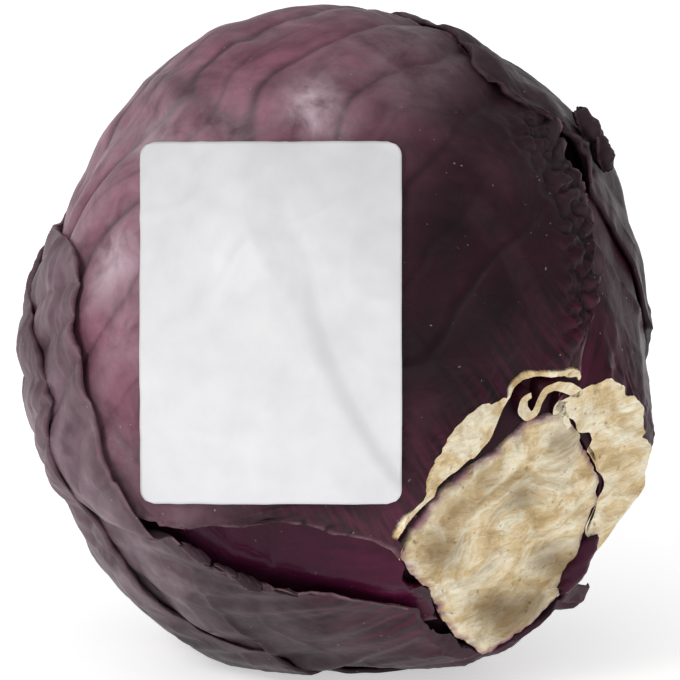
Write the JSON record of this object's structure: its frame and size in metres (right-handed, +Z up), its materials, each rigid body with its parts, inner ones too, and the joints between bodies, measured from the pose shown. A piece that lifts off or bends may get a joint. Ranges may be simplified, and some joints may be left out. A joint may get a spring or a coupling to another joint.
{
  "type": "cabbage head",
  "caption": "Red cabbage head: a dense heart on a cut stem, wrapped by loose overlapping leaves, with a blank paper label.",
  "frame": {"origin": "centre of the flat spot that the head rests on", "axes": "+Z up, -Z out of the flat rest spot; the label faces -Y and the cut stem points to +X, -Y and down"},
  "size_m": [0.138, 0.1453, 0.1413],
  "materials": {
    "heart": "satin",
    "stem": "matte",
    "leaf": "satin",
    "label": "satin"
  },
  "bodies": {
    "root": {"heart": "heart", "stem": "stem", "leaf_inner": "leaf", "leaf_right": "leaf", "leaf_front": "leaf", "leaf_under": "leaf", "leaf_back": "leaf", "leaf_outer": "leaf", "label": "label"}
  },
  "joints": []
}
